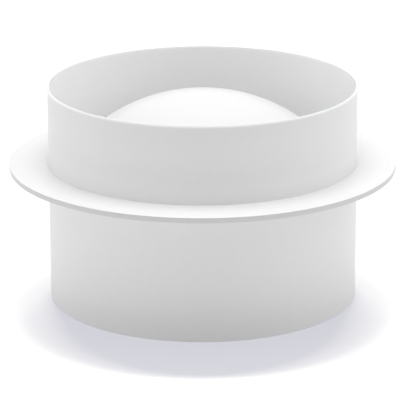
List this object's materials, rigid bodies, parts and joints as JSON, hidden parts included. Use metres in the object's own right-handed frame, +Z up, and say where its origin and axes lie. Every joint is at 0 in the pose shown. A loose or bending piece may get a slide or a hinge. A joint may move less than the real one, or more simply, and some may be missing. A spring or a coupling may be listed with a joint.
{
  "type": "cowl vent deck ring",
  "caption": "White PVC deck ring of a cowl vent: a collar the cowl slips over, a flange that lies on the deck, a sleeve through it, and a domed storm plug that lifts out.",
  "frame": {"origin": "centre of the sleeve's foot, on the axis of the ring", "axes": "+Z up along the axis of the ring, from the sleeve's foot to the collar's rim; X and Y are any two square directions, because the part is round"},
  "size_m": [0.1254, 0.1254, 0.0702],
  "materials": {
    "ring_pvc": "satin moulded PVC, white",
    "plug_pvc": "smooth moulded PVC, brilliant white",
    "seal_rubber": "matt black nitrile rubber"
  },
  "bodies": {
    "deck_ring": {"vent_tube": "ring_pvc", "deck_flange": "ring_pvc", "plug_seat_ring": "ring_pvc"},
    "storm_plug": {"plug_crown": "plug_pvc", "plug_skirt": "plug_pvc", "plug_o_ring": "seal_rubber"}
  },
  "joints": [
    {"name": "plug_lift", "type": "slide", "parent": "deck_ring", "child": "storm_plug", "axis": [0, 0, 1], "range_m": [0, 0.045]}
  ]
}
